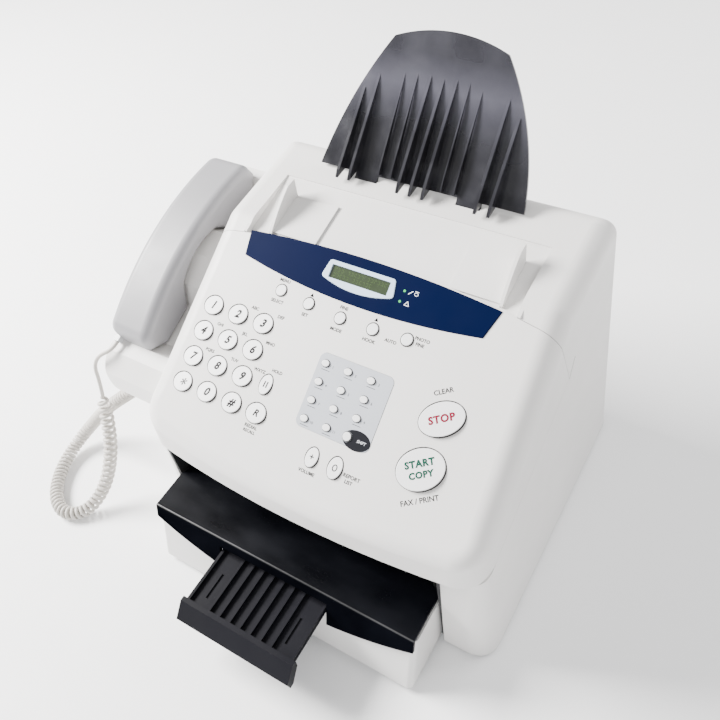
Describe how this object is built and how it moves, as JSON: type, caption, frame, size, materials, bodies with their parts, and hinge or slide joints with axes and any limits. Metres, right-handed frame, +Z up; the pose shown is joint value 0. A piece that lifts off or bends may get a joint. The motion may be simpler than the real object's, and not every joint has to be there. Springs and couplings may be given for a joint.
{
  "type": "fax machine",
  "caption": "Desktop fax machine with sloping key console, paper cassette, output cover, sheet support and a corded handset in a side cradle.",
  "frame": {"origin": "on the table plane under the centre of the machine, handset cord left out", "axes": "+X to the machine's right as its user faces it, +Y to its back, +Z up"},
  "size_m": [0.4528, 0.3923, 0.3431],
  "materials": {
    "casing": "fine moulded texture, warm light grey",
    "cassette_grey": "fine moulded texture, light grey",
    "cover_black": "polished black with light scratches",
    "tray_grey": "satin dark grey",
    "smoked_clear": "smoked translucent sheet",
    "bezel_navy": "satin navy blue",
    "lcd_surround": "pale blue print",
    "lcd_window": "olive display behind a clear window",
    "panel_blue": "pale bluish print film",
    "key_white": "satin white",
    "handset_grey": "fine moulded texture",
    "inner_dark": "dark moulded",
    "roller_rubber": "matt rubber on steel",
    "mat_rubber": "grey silicone",
    "steel": "zinc plated",
    "board_green": "solder resist",
    "sensor_black": "dark with a glass strip",
    "cord_grey": "soft satin",
    "plug_clear": "clear plastic with brass contacts",
    "socket_black": "moulded black",
    "foot_rubber": "matt rubber"
  },
  "bodies": {
    "base": {"main_housing": "casing", "floor_plate": "steel", "rubber_feet": "foot_rubber", "housing_screws": "steel", "inner_frame": "inner_dark", "control_board": "board_green", "drive_motor": "steel", "image_sensor": "sensor_black", "power_inlet": "socket_black", "line_sockets": "socket_black", "handset_cradle": "casing", "handset_cord": "cord_grey", "handset_lead": "cord_grey", "base_plug": "plug_clear"},
    "console": {"console_shell": "casing", "console_frame": "inner_dark", "console_hinge_pins": "steel", "display_bezel": "bezel_navy", "lcd_frame": "lcd_surround", "lcd_panel": "lcd_window", "quick_dial_overlay": "panel_blue", "keypad_mat": "mat_rubber", "key_board": "board_green"},
    "cassette": {"paper_cassette": "cassette_grey"},
    "lift_plate": {"paper_lift_plate": "steel"},
    "cover": {"output_cover": "cover_black"},
    "extension": {"extension_tray": "tray_grey"},
    "support": {"document_support": "smoked_clear"},
    "guide_left": {"document_guide_left": "casing"},
    "guide_right": {"document_guide_right": "casing"},
    "guide_gear": {"guide_pinion": "inner_dark"},
    "feed_shaft": {"feed_roller": "roller_rubber"},
    "motor_gear": {"motor_pinion": "steel"},
    "eject_shaft": {"eject_roller": "roller_rubber"},
    "pickup_shaft": {"pickup_roller": "roller_rubber"},
    "handset": {"handset_back": "handset_grey", "handset_face": "handset_grey", "handset_plug": "plug_clear"},
    "hook": {"hook_switch": "inner_dark"},
    "function_keys": {"function_keys": "key_white"},
    "key_0": {"key_0": "key_white"},
    "key_1": {"key_1": "key_white"},
    "key_2": {"key_2": "key_white"},
    "key_3": {"key_3": "key_white"},
    "key_4": {"key_4": "key_white"},
    "key_5": {"key_5": "key_white"},
    "key_6": {"key_6": "key_white"},
    "key_7": {"key_7": "key_white"},
    "key_8": {"key_8": "key_white"},
    "key_9": {"key_9": "key_white"},
    "key_hash": {"key_hash": "key_white"},
    "key_memory": {"key_memory": "key_white"},
    "key_pause": {"key_pause": "key_white"},
    "key_report": {"key_report": "key_white"},
    "key_shift": {"key_shift": "key_white"},
    "key_star": {"key_star": "key_white"},
    "key_start": {"key_start": "key_white"},
    "key_stop": {"key_stop": "key_white"},
    "key_volume": {"key_volume": "key_white"},
    "quick_dial_keys": {"quick_dial_keys": "key_white"}
  },
  "joints": [
    {"name": "console_hinge", "type": "hinge", "parent": "base", "child": "console", "pos_m": [0.029, -0.101, 0.1164], "axis": [1, 0, 0], "range_deg": [0, 40]},
    {"name": "function_keys_press", "type": "slide", "parent": "console", "child": "function_keys", "axis": [0, 0.5299, -0.848], "range_m": [0, 0.0015], "stiffness_N_per_m": 300},
    {"name": "key_0_press", "type": "slide", "parent": "console", "child": "key_0", "axis": [0, 0.5299, -0.848], "range_m": [0, 0.0015], "stiffness_N_per_m": 300},
    {"name": "key_1_press", "type": "slide", "parent": "console", "child": "key_1", "axis": [0, 0.5299, -0.848], "range_m": [0, 0.0015], "stiffness_N_per_m": 300},
    {"name": "key_2_press", "type": "slide", "parent": "console", "child": "key_2", "axis": [0, 0.5299, -0.848], "range_m": [0, 0.0015], "stiffness_N_per_m": 300},
    {"name": "key_3_press", "type": "slide", "parent": "console", "child": "key_3", "axis": [0, 0.5299, -0.848], "range_m": [0, 0.0015], "stiffness_N_per_m": 300},
    {"name": "key_4_press", "type": "slide", "parent": "console", "child": "key_4", "axis": [0, 0.5299, -0.848], "range_m": [0, 0.0015], "stiffness_N_per_m": 300},
    {"name": "key_5_press", "type": "slide", "parent": "console", "child": "key_5", "axis": [0, 0.5299, -0.848], "range_m": [0, 0.0015], "stiffness_N_per_m": 300},
    {"name": "key_6_press", "type": "slide", "parent": "console", "child": "key_6", "axis": [0, 0.5299, -0.848], "range_m": [0, 0.0015], "stiffness_N_per_m": 300},
    {"name": "key_7_press", "type": "slide", "parent": "console", "child": "key_7", "axis": [0, 0.5299, -0.848], "range_m": [0, 0.0015], "stiffness_N_per_m": 300},
    {"name": "key_8_press", "type": "slide", "parent": "console", "child": "key_8", "axis": [0, 0.5299, -0.848], "range_m": [0, 0.0015], "stiffness_N_per_m": 300},
    {"name": "key_9_press", "type": "slide", "parent": "console", "child": "key_9", "axis": [0, 0.5299, -0.848], "range_m": [0, 0.0015], "stiffness_N_per_m": 300},
    {"name": "key_hash_press", "type": "slide", "parent": "console", "child": "key_hash", "axis": [0, 0.5299, -0.848], "range_m": [0, 0.0015], "stiffness_N_per_m": 300},
    {"name": "key_memory_press", "type": "slide", "parent": "console", "child": "key_memory", "axis": [0, 0.5299, -0.848], "range_m": [0, 0.0015], "stiffness_N_per_m": 300},
    {"name": "key_pause_press", "type": "slide", "parent": "console", "child": "key_pause", "axis": [0, 0.5299, -0.848], "range_m": [0, 0.0015], "stiffness_N_per_m": 300},
    {"name": "key_report_press", "type": "slide", "parent": "console", "child": "key_report", "axis": [0, 0.5299, -0.848], "range_m": [0, 0.0015], "stiffness_N_per_m": 300},
    {"name": "key_shift_press", "type": "slide", "parent": "console", "child": "key_shift", "axis": [0, 0.5299, -0.848], "range_m": [0, 0.0015], "stiffness_N_per_m": 300},
    {"name": "key_star_press", "type": "slide", "parent": "console", "child": "key_star", "axis": [0, 0.5299, -0.848], "range_m": [0, 0.0015], "stiffness_N_per_m": 300},
    {"name": "key_start_press", "type": "slide", "parent": "console", "child": "key_start", "axis": [0, 0.5299, -0.848], "range_m": [0, 0.0015], "stiffness_N_per_m": 300},
    {"name": "key_stop_press", "type": "slide", "parent": "console", "child": "key_stop", "axis": [0, 0.5299, -0.848], "range_m": [0, 0.0015], "stiffness_N_per_m": 300},
    {"name": "key_volume_press", "type": "slide", "parent": "console", "child": "key_volume", "axis": [0, 0.5299, -0.848], "range_m": [0, 0.0015], "stiffness_N_per_m": 300},
    {"name": "quick_dial_keys_press", "type": "slide", "parent": "console", "child": "quick_dial_keys", "axis": [0, 0.5299, -0.848], "range_m": [0, 0.0015], "stiffness_N_per_m": 300},
    {"name": "cassette_slide", "type": "slide", "parent": "base", "child": "cassette", "axis": [0, -1, 0], "range_m": [0, 0.24]},
    {"name": "lift_plate_hinge", "type": "hinge", "parent": "cassette", "child": "lift_plate", "pos_m": [0.01815, 0.096, 0.009], "axis": [-1, 0, 0], "range_deg": [0, 6]},
    {"name": "cover_hinge", "type": "hinge", "parent": "cassette", "child": "cover", "pos_m": [0.01815, -0.055, 0.0555], "axis": [-1, 0, 0], "range_deg": [0, 25]},
    {"name": "extension_slide", "type": "slide", "parent": "cover", "child": "extension", "axis": [0, 1, 0], "range_m": [0, 0.034]},
    {"name": "support_slide", "type": "slide", "parent": "base", "child": "support", "axis": [0, 0.6157, 0.788], "range_m": [0, 0.03]},
    {"name": "guide_right_slide", "type": "slide", "parent": "base", "child": "guide_right", "axis": [-1, 0, 0], "range_m": [0, 0.028]},
    {"name": "guide_left_slide", "type": "slide", "parent": "base", "child": "guide_left", "axis": [1, 0, 0], "range_m": [0, 0.028]},
    {"name": "guide_gear_turn", "type": "hinge", "parent": "base", "child": "guide_gear", "pos_m": [0.0295, 0.06996, 0.22953], "axis": [0, -0.2233, 0.9748], "range_deg": [-200, 5]},
    {"name": "feed_roller_turn", "type": "hinge", "parent": "base", "child": "feed_shaft", "pos_m": [0.02, 0.012, 0.1364], "axis": [1, 0, 0], "continuous": true},
    {"name": "motor_gear_turn", "type": "hinge", "parent": "base", "child": "motor_gear", "pos_m": [0.15, 0.033, 0.1364], "axis": [1, 0, 0], "continuous": true},
    {"name": "eject_roller_turn", "type": "hinge", "parent": "base", "child": "eject_shaft", "pos_m": [0.02, -0.026, 0.078], "axis": [1, 0, 0], "continuous": true},
    {"name": "pickup_roller_turn", "type": "hinge", "parent": "base", "child": "pickup_shaft", "pos_m": [0.02, 0.022, 0.0625], "axis": [1, 0, 0], "continuous": true},
    {"name": "handset_lift", "type": "slide", "parent": "base", "child": "handset", "axis": [0, -0.342, 0.9397], "range_m": [0, 0.12]},
    {"name": "hook_switch_slide", "type": "slide", "parent": "base", "child": "hook", "axis": [0, -0.342, 0.9397], "range_m": [0, 0.003]}
  ],
  "couplings": [
    {"joint": "guide_left_slide", "follows": "guide_right_slide", "ratio": 1},
    {"joint": "guide_gear_turn", "follows": "guide_right_slide", "rad_per_m": -118},
    {"joint": "motor_gear_turn", "follows": "feed_roller_turn", "ratio": -2.5},
    {"joint": "hook_switch_slide", "follows": "handset_lift", "ratio": 0.025}
  ]
}
